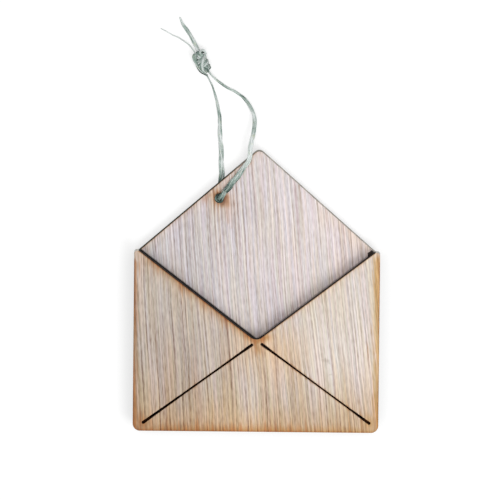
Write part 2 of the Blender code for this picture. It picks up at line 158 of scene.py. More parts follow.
class Graph:
    """A material's node tree with short calls for the nodes used here."""

    def __init__(self, name):
        self.material = bpy.data.materials.new(name)
        self.material.use_nodes = True
        self.tree = self.material.node_tree
        self.shader = self.tree.nodes["Principled BSDF"]

    def node(self, kind, sockets=(), **settings):
        """A new node with its settings, and its first sockets filled in their order."""
        node = self.tree.nodes.new(kind)
        for key, value in settings.items():
            setattr(node, key, value)
        for socket, value in zip(node.inputs, sockets):
            self.put(socket, value)
        return node

    def put(self, socket, value):
        if isinstance(value, bpy.types.NodeSocket):
            self.tree.links.new(value, socket)
        else:
            socket.default_value = value

    def math(self, operation, first, second=0.0, clamp=False):
        sockets = (first, second)
        return self.node("ShaderNodeMath", sockets, operation=operation, use_clamp=clamp).outputs[0]

    def plus(self, first, second):
        return self.math("ADD", first, second)

    def minus(self, first, second):
        return self.math("SUBTRACT", first, second)

    def times(self, first, second):
        return self.math("MULTIPLY", first, second)

    def clamped(self, value):
        return self.math("ADD", value, 0.0, clamp=True)

    def weighted(self, *terms):
        """Sum of values, each given with its share."""
        total = 0.0
        for value, share in terms:
            total = self.plus(total, self.times(value, share))
        return total

    def vector_math(self, operation, first, second=(0, 0, 0)):
        outputs = self.node("ShaderNodeVectorMath", (first, second), operation=operation).outputs
        return outputs["Value"] if operation in ("DOT_PRODUCT", "LENGTH") else outputs["Vector"]

    def position(self):
        return self.node("ShaderNodeTexCoord").outputs["Object"]

    def split(self, vector):
        return self.node("ShaderNodeSeparateXYZ", (vector,)).outputs

    def join(self, x, y, z=0.0):
        return self.node("ShaderNodeCombineXYZ", (x, y, z)).outputs[0]

    def noise(self, vector, scale=1.0, detail=2.0, roughness=0.5):
        sockets = (vector, 0.0, scale, detail, roughness)
        return self.node("ShaderNodeTexNoise", sockets).outputs["Fac"]

    def ramp(self, factor, stops):
        """Colours between stops, each a place and a colour or a grey value."""
        node = self.node("ShaderNodeValToRGB", (factor,))
        elements = node.color_ramp.elements
        while len(elements) < len(stops):
            elements.new(0.5)
        for element, (place, colour) in zip(elements, stops):
            element.position = place
            element.color = colour if isinstance(colour, tuple) else (colour, colour, colour, 1)
        return node.outputs["Color"]

    def remap(self, value, low, high, to_low=0.0, to_high=1.0, smooth=False):
        kind = "SMOOTHSTEP" if smooth else "LINEAR"
        sockets = (value, low, high, to_low, to_high)
        return self.node("ShaderNodeMapRange", sockets, interpolation_type=kind).outputs[0]

    def mix(self, factor, first, second, blend="MIX"):
        node = self.node("ShaderNodeMix", data_type="RGBA", blend_type=blend)
        self.put(node.inputs[0], factor)
        self.put(node.inputs[6], first)
        self.put(node.inputs[7], second)
        return node.outputs[2]

    def tinted(self, colour, tint, factor=1.0):
        return self.mix(factor, colour, tint, "MULTIPLY")

    def surface(self, colour, roughness, specular):
        inputs = self.shader.inputs
        self.put(inputs["Base Color"], colour)
        self.put(inputs["Roughness"], roughness)
        self.put(inputs["Specular IOR Level"], specular)

    def bump(self, height, strength, distance):
        node = self.node("ShaderNodeBump")
        node.inputs["Strength"].default_value = strength
        node.inputs["Distance"].default_value = distance
        self.put(node.inputs["Height"], height)
        self.put(self.shader.inputs["Normal"], node.outputs[0])


# Outlines, in the plane of the plates: X, and Y from the bottom edge


def rounded_outline(corners):
    """Points of a closed outline.  Each corner is x, y and the radius of its round."""
    arc_steps = 12
    points = []
    for index, (x, y, radius) in enumerate(corners):
        corner = Vector((x, y))
        before = Vector(corners[index - 1][:2])
        after = Vector(corners[(index + 1) % len(corners)][:2])
        if radius == 0:
            points.append(corner)
            continue
        back = (before - corner).normalized()
        ahead = (after - corner).normalized()
        half_angle = back.angle(ahead) / 2
        centre = corner + (back + ahead).normalized() * (radius / math.sin(half_angle))
        reach = radius / math.tan(half_angle)
        start = corner + back * reach - centre
        end = corner + ahead * reach - centre
        sweep = start.angle_signed(end)
        for step in range(arc_steps + 1):
            points.append(centre + Matrix.Rotation(-sweep * step / arc_steps, 2) @ start)
    return points


def outline_with_top(side_height, shoulder_radius, top_corners):
    """The square bottom and sides of a plate with the given corners between its shoulders."""
    return rounded_outline([
        (-HALF_WIDTH, 0, CORNER_RADIUS),
        (HALF_WIDTH, 0, CORNER_RADIUS),
        (HALF_WIDTH, side_height, shoulder_radius),
        *top_corners,
        (-HALF_WIDTH, side_height, shoulder_radius),
    ])


def back_outline():
    return outline_with_top(SIDE_HEIGHT, SHOULDER_RADIUS, [(TIP_OFFSET, TIP_HEIGHT, TIP_RADIUS)])


def front_outline():
    return outline_with_top(FRONT_HEIGHT, FRONT_SHOULDER_RADIUS, [
        (NOTCH_TIP_X, FRONT_HEIGHT, NOTCH_TIP_RADIUS),
        (0, NOTCH_BOTTOM, NOTCH_RADIUS),
        (-NOTCH_TIP_X, FRONT_HEIGHT, NOTCH_TIP_RADIUS),
    ])


def slit_outline(ends, widths):
    """A slit that is a little wider where the beam dwelt, with round ends."""
    inner, outer = (Vector(end) for end in ends)
    arc_steps = 8
    along = (outer - inner).normalized()
    across = Vector((-along.y, along.x))
    places = [inner.lerp(outer, index / (len(widths) - 1)) for index in range(len(widths))]
    points = []
    for order, start_angle in ((1, -math.pi / 2), (-1, math.pi / 2)):
        flank = list(zip(places, widths))[::order]
        points += [place - across * (order * width / 2) for place, width in flank[1:-1]]
        end, width = flank[-1]
        for step in range(arc_steps + 1):
            angle = start_angle + math.pi * step / arc_steps
            points.append(end + (along * math.cos(angle) + across * math.sin(angle)) * width / 2)
    return points


def circle(radius, angles):
    return [Vector((radius * math.cos(angle), radius * math.sin(angle))) for angle in angles]


def hole_outline():
    sides = 64
    centre = Vector((HOLE_X, HOLE_HEIGHT))
    angles = [2 * math.pi * step / sides for step in range(sides)]
    return [centre + point for point in circle(HOLE_RADIUS, angles)]


def notch_meets_flap(side, lift):
    """Corner where a line along the notch, lifted a little, meets the flap's edge."""
    flap_slope = FLAP_RISE / (HALF_WIDTH - side * TIP_OFFSET)
    span = SIDE_HEIGHT + flap_slope * HALF_WIDTH - NOTCH_BOTTOM - lift
    x = span / (NOTCH_SLOPE + flap_slope)
    return side * x, NOTCH_BOTTOM + lift + NOTCH_SLOPE * x


def side_spacer_outline(side, lift):
    inner_x = HALF_WIDTH - SPACER_WIDTH
    foot = SPACER_WIDTH + SPACER_JOINT_GAP
    return rounded_outline([
        (side * inner_x, foot, 0),
        (side * HALF_WIDTH, foot, 0),
        (side * HALF_WIDTH, SIDE_HEIGHT, SHOULDER_RADIUS),
        (*notch_meets_flap(side, lift), 0),
        (side * inner_x, NOTCH_BOTTOM + NOTCH_SLOPE * inner_x + lift, 0),
    ])


# The plates' frame stands at the middle of the bottom edge, the twine's at the hole
TIP_TOP = max(point.y for point in back_outline())
BASE_Y = -(TIP_TOP * math.cos(LEAN) - FRONT_FACE * math.sin(LEAN)) / 2
HOLE = Vector((HOLE_X, BASE_Y + HOLE_HEIGHT * math.cos(LEAN) - SHEET / 2 * math.sin(LEAN), 0))
OVER_FLAP_Z = TIP_TOP * math.sin(LEAN) + SHEET * math.cos(LEAN) + TWINE_GAP + TWINE_DIAMETER / 2


# Plates: the round of their arrises, and how far short of the sheets the strips stop
EDGE_ROUND = 0.00006
WELD = 0.000002
SNUG = 0.00002
# A face that slopes up by the first, or lies as flat as the second, counts as veneer
ARRIS_SLOPE = 0.2
FLAT_ENOUGH = 0.999
SHARP_ANGLE = math.radians(50)


def twice_area(points):
    """Twice an outline's area, above zero where the outline runs anticlockwise."""
    return sum(start.x * end.y - end.x * start.y for start, end in zip(points, points[1:] + points[:1]))


def sheet_mesh(name, outline, holes, floor, thickness):
    """A sheet with rounded arrises as one closed mesh, in the plates' own frame."""
    curve = bpy.data.curves.new(name + "_outline", "CURVE")
    curve.dimensions = "2D"
    curve.fill_mode = "BOTH"
    curve.extrude = thickness / 2 - EDGE_ROUND
    curve.bevel_depth = EDGE_ROUND
    curve.bevel_resolution = 1
    curve.offset = -EDGE_ROUND
    for points, turn in [(outline, 1)] + [(hole, -1) for hole in holes]:
        ordered = points if twice_area(points) * turn > 0 else points[::-1]
        spline = curve.splines.new("POLY")
        spline.points.add(len(ordered) - 1)
        for slot, point in zip(spline.points, ordered):
            slot.co = (point.x, point.y, 0, 1)
        spline.use_cyclic_u = True
    guide = add_object(name + "_outline", curve)
    bpy.context.view_layer.update()
    graph = bpy.context.evaluated_depsgraph_get()
    mesh = bpy.data.meshes.new_from_object(guide.evaluated_get(graph))
    bpy.data.objects.remove(guide, do_unlink=True)
    shape = bmesh.new()
    shape.from_mesh(mesh)
    bmesh.ops.remove_doubles(shape, verts=shape.verts, dist=WELD)
    bmesh.ops.translate(shape, verts=shape.verts, vec=(0, 0, floor + thickness / 2))
    bmesh.ops.recalc_face_normals(shape, faces=shape.faces)
    shape.to_mesh(mesh)
    shape.free()
    mesh.name = name
    return mesh


def lay_plate(name, mesh, veneer, edge, node):
    """Put a plate where the part has it, with its own material on the cut edges."""
    plate = add_object(name, mesh)
    plate.location = (0, BASE_Y, 0)
    plate.rotation_euler = (LEAN, 0, 0)
    mesh.materials.clear()
    mesh.materials.append(veneer)
    mesh.materials.append(edge)
    for face in mesh.polygons:
        flat = abs(face.normal.z) > FLAT_ENOUGH or face.normal.z > ARRIS_SLOPE
        face.material_index = 0 if flat else 1
    mesh.shade_smooth()
    mesh.set_sharp_from_angle(angle=SHARP_ANGLE)
    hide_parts(node)
    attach(plate, "envelope")


# Wood


def segment_distance(graph, position, start, end):
    """Distance from the position to a straight stretch, in the plates' plane."""
    start = Vector((*start, 0))
    line = Vector((*end, 0)) - start
    offset = graph.vector_math("SUBTRACT", position, tuple(start))
    if line.length > 0:
        reach = graph.vector_math("DOT_PRODUCT", offset, tuple(line / line.length_squared))
        nearest = graph.vector_math("MULTIPLY", tuple(line), graph.clamped(reach))
        offset = graph.vector_math("SUBTRACT", offset, nearest)
    return graph.vector_math("LENGTH", offset)


def mark_mask(graph, flat, raggedness, marks):
    """Greatest of the marks.  Each fades over its width, and the raggedness stretches its distance."""
    total = 0.0
    for start, end, width, strength in marks:
        distance = segment_distance(graph, flat, start, end)
        mark = graph.remap(graph.times(distance, raggedness), 0.0, width, strength, 0.0)
        total = graph.math("MAXIMUM", total, mark)
    return graph.clamped(total)


def lifted(point, rise):
    return (point[0], point[1] + rise)


def by_notch(x, rise):
    """A place on a sheet, from the middle and up from the bottom of the notch."""
    return (x, NOTCH_BOTTOM + rise)


def by_hole(x, rise):
    """A place on the back sheet, from the middle of the hole."""
    return (HOLE_X + x, HOLE_HEIGHT + rise)


LEFT_TIP = (-NOTCH_TIP_X, FRONT_HEIGHT)
RIGHT_TIP = (NOTCH_TIP_X, FRONT_HEIGHT)
NOTCH_CORNER = by_notch(0, 0)
LEFT_FLANK = by_notch(-0.0430, 0.0333)
LEFT_BEND = by_notch(-0.0018, 0.0012)
RIGHT_BEND = by_notch(0.0018, 0.0012)
FLAP_TIP = (TIP_OFFSET, TIP_HEIGHT)
LEFT_SHOULDER = (-HALF_WIDTH, SIDE_HEIGHT)
RIGHT_SHOULDER = (HALF_WIDTH, SIDE_HEIGHT)
LEFT_FRONT_SHOULDER = (-HALF_WIDTH, FRONT_HEIGHT)
RIGHT_SIDE_TOP = (HALF_WIDTH, FRONT_HEIGHT - 0.0040)
LEFT_FOOT = (-HALF_WIDTH, 0)
RIGHT_FOOT = (HALF_WIDTH, 0)
LEFT_QUARTER = (-0.038, 0)
FOOT_MIDDLE = (0.014, 0)
RIGHT_MIDDLE = (HALF_WIDTH, 0.034)
HOLE_PLACE = by_hole(0, 0)
# The painted shade under a slit lies this much lower than the slit, seen from the camera
SLIT_SHADE_DROP = -0.0015

# Marks on each sheet: start, end, width and strength.  A tint is the orange haze of the
# laser with a ragged edge, a glow a paler and wider one, a burn the brown line at a cut,
# and blackening the near-black of soot beside a kerf on the front sheet and of painted
# shade on the back sheet, inside the pocket along the notch and under a slit.  Dull marks
# are greyer wood and small knots.
FRONT_STAINS = {
    "tint": (
        (LEFT_FLANK, LEFT_BEND, 0.0038, 1.05),
        (RIGHT_TIP, RIGHT_BEND, 0.0012, 0.25),
        (by_notch(-0.0056, 0.0040), by_notch(-0.0004, 0.0002), 0.0034, 1.20),
        (by_notch(0.0042, 0.0022), by_notch(0.0004, 0.0002), 0.0032, 1.15),
        (by_notch(0, -0.0016), by_notch(0.0006, -0.0034), 0.0036, 0.90),
        (LEFT_SLIT[1], LEFT_SLIT[1], 0.0052, 1.05),
        (RIGHT_SLIT[1], RIGHT_SLIT[1], 0.0064, 1.10),
        (*LEFT_SLIT, 0.0012, 0.14),
        (*RIGHT_SLIT, 0.0014, 0.25),
        (LEFT_FOOT, LEFT_QUARTER, 0.0036, 0.95),
        (LEFT_QUARTER, FOOT_MIDDLE, 0.0046, 1.20),
        (FOOT_MIDDLE, RIGHT_FOOT, 0.0042, 1.00),
        (LEFT_FOOT, lifted(LEFT_FRONT_SHOULDER, -0.0055), 0.0026, 1.40),
        (RIGHT_FOOT, RIGHT_MIDDLE, 0.0026, 1.50),
        (RIGHT_MIDDLE, RIGHT_SIDE_TOP, 0.0036, 1.70),
    ),
    "glow": (
        (by_notch(0, -0.001), by_notch(0.008, -0.005), 0.018, 1.00),
        (LEFT_TIP, LEFT_BEND, 0.0070, 0.50),
        (RIGHT_TIP, RIGHT_BEND, 0.0040, 0.30),
        (LEFT_FOOT, FOOT_MIDDLE, 0.0110, 0.75),
        (FOOT_MIDDLE, RIGHT_FOOT, 0.0110, 0.45),
        ((0.036, 0.002), (0.048, 0.006), 0.0140, 0.30),
        (LEFT_SLIT[1], LEFT_SLIT[1], 0.0090, 0.45),
        (RIGHT_FOOT, RIGHT_SIDE_TOP, 0.0060, 0.60),
        ((-0.016, 0), (-0.016, 0.004), 0.0120, 0.50),
    ),
    "burn": (
        (LEFT_TIP, LEFT_BEND, 0.0006, 0.55),
        (RIGHT_TIP, RIGHT_BEND, 0.0003, 0.50),
        (LEFT_BEND, RIGHT_BEND, 0.0005, 0.40),
        (by_notch(-0.0040, 0.0026), by_notch(0, 0.0004), 0.0020, 0.34),
        (by_notch(0.0040, 0.0020), by_notch(0, 0.0004), 0.0019, 0.30),
        (*LEFT_SLIT, 0.0008, 0.60),
        (*RIGHT_SLIT, 0.0008, 0.60),
        (LEFT_FOOT, RIGHT_FOOT, 0.0011, 0.32),
        (LEFT_FOOT, lifted(LEFT_FRONT_SHOULDER, -0.0040), 0.0008, 0.46),
        (RIGHT_FOOT, RIGHT_SIDE_TOP, 0.0006, 0.48),
    ),
    "blackening": (
        (LEFT_SLIT[0], by_notch(-0.0042, -0.0030), 0.0009, 1.10),
        (RIGHT_SLIT[0], by_notch(0.0047, -0.0028), 0.0009, 1.10),
    ),
    "dull": (
        ((-0.034, 0.012), (-0.026, 0.030), 0.036, 0.95),
        ((0.040, 0.004), (0.020, 0.006), 0.026, 1.00),
        ((0.0268, 0.0325), (0.0271, 0.0312), 0.0007, 0.90),
        ((0.0275, 0.0301), (0.0292, 0.0297), 0.0012, 1.25),
        ((0.0296, 0.0291), (0.0299, 0.0286), 0.0007, 0.80),
        ((0.0300, 0.0240), (0.0306, 0.0241), 0.0007, 1.00),
    ),
}
BACK_STAINS_AND_SHADE = {
    "tint": (
        (HOLE_PLACE, HOLE_PLACE, 0.0056, 1.10),
        (by_hole(0.0030, 0), by_hole(0.0036, -0.0030), 0.0030, 0.70),
        (by_hole(0.0026, -0.0040), by_hole(0.0036, -0.0100), 0.0016, 0.50),
        (by_hole(-0.0036, 0.0012), by_hole(-0.0062, -0.0006), 0.0022, 0.70),
        (by_hole(0.0046, -0.0040), by_hole(0.0052, -0.0120), 0.0014, 0.35),
        ((-0.0042, 0.1112), (-0.0034, 0.1096), 0.0012, 0.60),
        (LEFT_SHOULDER, FLAP_TIP, 0.0012, 0.20),
        (LEFT_FOOT, RIGHT_FOOT, 0.0030, 0.70),
        (LEFT_FOOT, LEFT_SHOULDER, 0.0022, 0.60),
        (RIGHT_FOOT, RIGHT_SHOULDER, 0.0022, 0.60),
    ),
    "glow": (
        (HOLE_PLACE, by_hole(0.0020, -0.0020), 0.0090, 0.60),
        (by_hole(-0.0012, 0.0030), by_hole(0.0070, 0.0098), 0.0032, 0.60),
        (LEFT_SHOULDER, FLAP_TIP, 0.0040, 0.35),
        (RIGHT_SHOULDER, (0.030, 0.088), 0.0060, 0.30),
    ),
    "burn": (
        (HOLE_PLACE, by_hole(0.0012, -0.0012), 0.0036, 0.72),
        (by_hole(0.0024, 0.0004), by_hole(0.0014, -0.0026), 0.0022, 0.62),
        (LEFT_SHOULDER, FLAP_TIP, 0.0003, 0.60),
        (LEFT_FOOT, RIGHT_FOOT, 0.0008, 0.50),
        (LEFT_FOOT, LEFT_SHOULDER, 0.0008, 0.50),
        (RIGHT_FOOT, RIGHT_SHOULDER, 0.0008, 0.50),
    ),
    "blackening": (
        # Painted shade: near-black inside the pocket along the notch, under the front sheet's edge, and on
        # the pocket floor under each slit
        (lifted(LEFT_TIP, -0.0010), lifted(NOTCH_CORNER, -0.0010), 0.0010, 1.70),
        (lifted(RIGHT_TIP, -0.0012), lifted(NOTCH_CORNER, -0.0012), 0.0010, 0.75),
        (lifted(LEFT_SLIT[0], SLIT_SHADE_DROP), lifted(LEFT_SLIT[1], SLIT_SHADE_DROP), 0.0011, 3.00),
        (lifted(RIGHT_SLIT[0], SLIT_SHADE_DROP), lifted(RIGHT_SLIT[1], SLIT_SHADE_DROP), 0.0011, 3.00),
    ),
    "dull": (
        ((-0.0036, 0.0965), (-0.0030, 0.0900), 0.0060, 0.40),
    ),
}


# Veneer: how far its grain swings, its middle tone, and how much stronger it is at the foot
GRAIN_SWING = 0.0032
MIDDLE_TONE = 0.53
FOOT_HEIGHT = 0.034
FOOT_GAIN = 0.2
# A wave across the grain spaces the pores: its angle to the metre, and how far it strays
PORE_WAVE = 4400
PORE_STRAY = 16
RINGS = 8.0

# Colours that multiply the veneer's own.  A pair goes from the first to the second, with
# the grain in the blush and the straw, and from left to right in the haze.
GAIN = (1.27, 1.27, 1.27, 1)
BLUSH = ((0.966, 1.0, 1.006, 1), (1.034, 0.994, 0.988, 1))
STRAW = ((1.004, 1.0, 0.925, 1), (0.996, 1.0, 1.055, 1))
DULL = (0.80, 0.78, 0.76, 1)
GLOW = (1.03, 0.86, 0.65, 1)
HAZE = ((0.70, 0.56, 0.41, 1), (0.87, 0.74, 0.48, 1))
STREAK_HAZE = ((0.81, 0.53, 0.33, 1), (0.80, 0.60, 0.34, 1))
# Near-black of the soot on the front sheet and of the painted shade on the back sheet
SOOT_AND_SHADE = srgb(26, 24, 25)


def veneer_material(name, seed, slant, fan, contrast, shaded_left_to_lit_right, warm_foot, stains_and_shade):
    """Open-grained veneer: long fine streaks and grain lines, stained where it was cut, with painted shade:
    darker to the left, and near-black where its marks ask.
    """
    graph = Graph(name)
    x, y, _ = graph.split(graph.position())
    flat = graph.join(x, y)
    wander = graph.noise(graph.join(graph.times(x, 34), graph.times(y, 13), seed))
    swing = graph.times(graph.minus(wander, 0.5), GRAIN_SWING)
    lean = graph.plus(graph.times(x, fan), slant)
    grain_x = graph.plus(graph.plus(x, graph.times(y, lean)), swing)

    def grain(across, along, layer, detail=1.0):
        """Noise round zero, with so many features to the metre across and along the grain."""
        place = graph.join(graph.times(grain_x, across), graph.times(y, along), seed + layer)
        return graph.minus(graph.noise(place, 1.0, detail), 0.5)

    fine = grain(across=1950, along=17, layer=3.1)
    streaks = grain(across=1020, along=9, layer=7.7)
    ribbons = grain(across=230, along=8, layer=12.3)
    bands = grain(across=60, along=5, layer=17.9)
    dashes = grain(across=2000, along=330, layer=28.2)
    stray = graph.times(grain(across=260, along=9, layer=52.0), PORE_STRAY)
    wave = graph.math("SINE", graph.plus(graph.times(grain_x, PORE_WAVE), stray))
    depth = graph.remap(grain(across=500, along=11, layer=57.0), -0.12, 0.12, 0.4, 1.6)
    comb = graph.times(wave, depth)
    rings = graph.math("FRACT", graph.times(grain(across=150, along=4, layer=23.5, detail=0.0), RINGS))
    ring_line = graph.remap(graph.math("ABSOLUTE", graph.minus(rings, 0.5)), 0.0, 0.18, 1.0, 0.0)
    ring_line = graph.times(ring_line, graph.remap(grain(across=300, along=12, layer=33.0), -0.10, 0.12))
    tone = graph.weighted(
        (fine, 1.30), (streaks, 0.28), (comb, 0.12), (bands, 0.02), (dashes, 0.74), (ring_line, -0.15)
    )
    foot_edge = graph.plus(y, graph.times(ribbons, 0.05))
    foot_share = graph.remap(foot_edge, 0.0, FOOT_HEIGHT, 1.0, 0.0, smooth=True)
    strength = graph.remap(x, -HALF_WIDTH / 2, HALF_WIDTH / 2, *contrast)
    strength = graph.times(strength, graph.plus(graph.times(foot_share, FOOT_GAIN), 1.0))
    tone = graph.plus(graph.times(tone, strength), MIDDLE_TONE)

    # Painted shade: the base goes from darker on the left to lighter on the right, as the light falls off
    # away from the right
    base = graph.mix(graph.remap(x, -HALF_WIDTH, HALF_WIDTH, smooth=True), *shaded_left_to_lit_right)
    base = graph.tinted(base, warm_foot, foot_share)
    shades = graph.ramp(tone, (
        (0.0, srgb(164, 145, 136)),
        (0.5, srgb(227, 226, 226)),
        (0.85, srgb(255, 255, 255)),
    ))
    colour = graph.tinted(graph.tinted(base, shades), GAIN)
    for across, along, layer, pair in ((900, 24, 41.0, BLUSH), (760, 28, 47.0, STRAW)):
        share = graph.remap(grain(across, along, layer), -0.14, 0.14)
        colour = graph.tinted(colour, graph.mix(share, *pair))

    dull = mark_mask(graph, flat, graph.remap(ribbons, -0.15, 0.15, 0.8, 1.25), stains_and_shade["dull"])
    colour = graph.tinted(colour, DULL, dull)
    colour = graph.tinted(colour, GLOW, mark_mask(graph, flat, 1.0, stains_and_shade["glow"]))
    raggedness = graph.weighted((streaks, 3.0), (grain(across=700, along=90, layer=44.0), 2.4))
    raggedness = graph.remap(raggedness, -0.75, 0.75, 0.50, 1.7)
    tint = mark_mask(graph, flat, raggedness, stains_and_shade["tint"])
    haze = graph.mix(graph.remap(x, -HALF_WIDTH, HALF_WIDTH), *HAZE)
    streak_haze = graph.mix(graph.remap(x, 0.0, HALF_WIDTH), *STREAK_HAZE)
    warm = graph.mix(graph.remap(streaks, -0.13, 0.13), streak_haze, haze)
    colour = graph.tinted(colour, warm, tint)
    burn = mark_mask(graph, flat, graph.plus(graph.times(raggedness, 0.6), 0.4), stains_and_shade["burn"])
    colour = graph.tinted(colour, graph.ramp(burn, (
        (0.0, (1.0, 1.0, 1.0, 1)),
        (0.3, (0.82, 0.68, 0.55, 1)),
        (0.6, (0.46, 0.29, 0.20, 1)),
        (0.85, (0.12, 0.07, 0.05, 1)),
    )))
    # Near-black marks: soot on the front sheet, painted shade on the back sheet
    blackening = mark_mask(graph, flat, 1.0, stains_and_shade["blackening"])
    colour = graph.mix(blackening, colour, SOOT_AND_SHADE)
    graph.surface(colour, graph.remap(streaks, -0.2, 0.2, 0.78, 0.62), 0.30)
    graph.bump(tone, 0.35, 0.00010)
    return graph.material


# Cut edges: a ply, where the flap's right edge turns to a painted highlight, the width over which one tone
# goes into the next, and how far inside the outline the slits' walls are
PLY_THICKNESS = 0.00133
LIT_EDGE_SPAN = (-0.014, 0.003)
MASK_EDGE = 0.0002
SLITS_BELOW_NOTCH = 0.0004
SLITS_ABOVE_FOOT = 0.0015
SLITS_INSIDE_SIDES = 0.0016
CHAR = srgb(38, 31, 27)
GREEN_CHAR = srgb(52, 58, 42)
# Painted highlight: the pale tone of the flap's right edge, as if the light fell on it
PAINTED_LIT_WOOD = srgb(236, 228, 216)
# Painted highlight: near-white on the shoulders' edges beyond the notch
SHOULDER_HIGHLIGHT = srgb(248, 244, 236)
SLIT_WALL = srgb(82, 42, 10)
GLUE = srgb(16, 14, 13)
RIB = srgb(70, 52, 40)


def cut_edge_material(name, seed, char, lit_flap_tone):
    """Laser-cut plywood edge: charred, with the plies and the beam's fine ribs, and painted highlights on the
    flap's right edge and the shoulders.
    """
    graph = Graph(name)
    x, y, z = graph.split(graph.position())
    layer = graph.math("FRACT", graph.times(z, 1 / PLY_THICKNESS))
    glue = graph.remap(graph.math("ABSOLUTE", graph.minus(layer, 0.5)), 0.36, 0.5)
    rib_place = graph.join(graph.times(x, 2600), graph.times(y, 2600), graph.times(z, 120))
    ribs = graph.noise(rib_place)
    soot_place = graph.join(graph.times(x, 210), graph.times(y, 210), graph.plus(graph.times(z, 500), seed))
    # The char's own patchiness
    blackening = graph.noise(soot_place, 1.0, 3.0)
    from_middle = graph.math("ABSOLUTE", x)
    above_sides = graph.remap(y, SIDE_HEIGHT, SIDE_HEIGHT + 2 * MASK_EDGE)
    beyond_notch = graph.remap(from_middle, NOTCH_TIP_X - MASK_EDGE, NOTCH_TIP_X + MASK_EDGE / 2)
    slits_top = NOTCH_BOTTOM - SLITS_BELOW_NOTCH
    slits_side = HALF_WIDTH - SLITS_INSIDE_SIDES
    in_slit = graph.times(
        graph.remap(y, slits_top, slits_top - MASK_EDGE),
        graph.times(
            graph.remap(y, SLITS_ABOVE_FOOT, SLITS_ABOVE_FOOT + MASK_EDGE),
            graph.remap(from_middle, slits_side, slits_side - MASK_EDGE),
        ),
    )
    # Painted highlight: the lit tone takes over towards the right, above the sides
    colour = graph.mix(graph.times(graph.remap(x, *LIT_EDGE_SPAN), above_sides), char, lit_flap_tone)
    colour = graph.mix(in_slit, colour, SLIT_WALL)
    colour = graph.tinted(colour, graph.ramp(blackening, ((0.30, 0.55), (0.55, 1.0), (0.80, 1.9))))
    colour = graph.mix(graph.times(glue, 0.55), colour, GLUE)
    colour = graph.mix(graph.times(ribs, 0.15), colour, RIB)
    # Painted highlight on the shoulders beyond the notch
    colour = graph.mix(graph.times(beyond_notch, above_sides), colour, SHOULDER_HIGHLIGHT)
    graph.surface(colour, 0.85, 0.2)
    graph.bump(ribs, 0.5, 0.0001)
    return graph.material


def make_plates():
    front_edge = cut_edge_material("front_cut_edge", 0.0, CHAR, CHAR)
    back_edge = cut_edge_material("back_cut_edge", 9.0, GREEN_CHAR, PAINTED_LIT_WOOD)
    back = veneer_material(
        "back_veneer",
        seed=4.0,
        slant=0.083,
        fan=0.3,
        contrast=(0.84, 0.72),
        shaded_left_to_lit_right=(srgb(201, 195, 196), srgb(222, 211, 209)),
        warm_foot=(1.0, 0.97, 0.93, 1),
        stains_and_shade=BACK_STAINS_AND_SHADE,
    )
    front = veneer_material(
        "front_veneer",
        seed=19.0,
        slant=0.090,
        fan=0.7,
        contrast=(0.96, 0.78),
        shaded_left_to_lit_right=(srgb(192, 180, 170), srgb(212, 202, 194)),
        warm_foot=(0.98, 0.86, 0.69, 1),
        stains_and_shade=FRONT_STAINS,
    )
    slits = [slit_outline(LEFT_SLIT, LEFT_SLIT_WIDTHS), slit_outline(RIGHT_SLIT, RIGHT_SLIT_WIDTHS)]
    for side, outline, holes, floor, veneer, edge in (
        ("back", back_outline(), [hole_outline()], 0.0, back, back_edge),
        ("front", front_outline(), slits, FRONT_FLOOR, front, front_edge),
    ):
        mesh = sheet_mesh(side + "_sheet", outline, holes, floor, SHEET)
        lay_plate(side + "_sheet", mesh, veneer, edge, side + "_plate")
    for side, outline in (
        ("bottom", outline_with_top(SPACER_WIDTH, 0, [])),
        ("left", side_spacer_outline(-1, LEFT_SPACER_LIFT)),
        ("right", side_spacer_outline(1, RIGHT_SPACER_LIFT)),
    ):
        name = side + "_spacer"
        mesh = sheet_mesh(name, outline, [], SHEET + SNUG, FRONT_FLOOR - SHEET - 2 * SNUG)
        lay_plate(name, mesh, front_edge, front_edge, "spacer_strip_" + side)


# Twine


def smooth_route(points, step):
    """Points about a step apart on a smooth curve through the route's own points."""
    substeps = 24
    padded = [2 * points[0] - points[1], *points, 2 * points[-1] - points[-2]]
    fine = []
    for before, start, end, after in zip(padded, padded[1:], padded[2:], padded[3:]):
        for substep in range(substeps):
            t = substep / substeps
            fine.append(0.5 * (
                2 * start
                + (end - before) * t
                + (2 * before - 5 * start + 4 * end - after) * t ** 2
                + (3 * start - 3 * end + after - before) * t ** 3
            ))
    fine.append(points[-1])
    run = [0.0]
    for start, end in zip(fine, fine[1:]):
        run.append(run[-1] + (end - start).length)
    count = max(3, round(run[-1] / step) + 1)
    even = []
    index = 0
    for number in range(count):
        target = run[-1] * number / (count - 1)
        while index < len(fine) - 2 and run[index + 1] < target:
            index += 1
        share = (target - run[index]) / (run[index + 1] - run[index])
        even.append(fine[index].lerp(fine[index + 1], share))
    return even


def route_points(route, radius):
    return [
        HOLE + Vector((x, y, OVER_FLAP_Z + (radius - OVER_FLAP_Z) * share))
        for x, y, share in route
    ]


# Middle of the knot and its directions: towards the tails, and across
KNOT_MIDDLE = HOLE + Vector((*KNOT_PLACE, 0))
KNOT_ALONG = Vector((-math.sin(KNOT_TILT), math.cos(KNOT_TILT), 0))
KNOT_ACROSS = Vector((math.cos(KNOT_TILT), math.sin(KNOT_TILT), 0))
# Ways of the two strands from the hole, and how far from it they start
FRONT_WAY = Vector((*RIGHT_ROUTE[0][:2], 0)).normalized()
REAR_WAY = Vector((*LEFT_ROUTE[0][:2], 0)).normalized()
STRAND_START = THREADED_REACH + TWINE_GAP


def knot_route(places):
    """Points given from the middle of the knot: across, along and above the table."""
    return [
        KNOT_MIDDLE + KNOT_ACROSS * aside + KNOT_ALONG * ahead + UP * height
        for aside, ahead, height in places
    ]


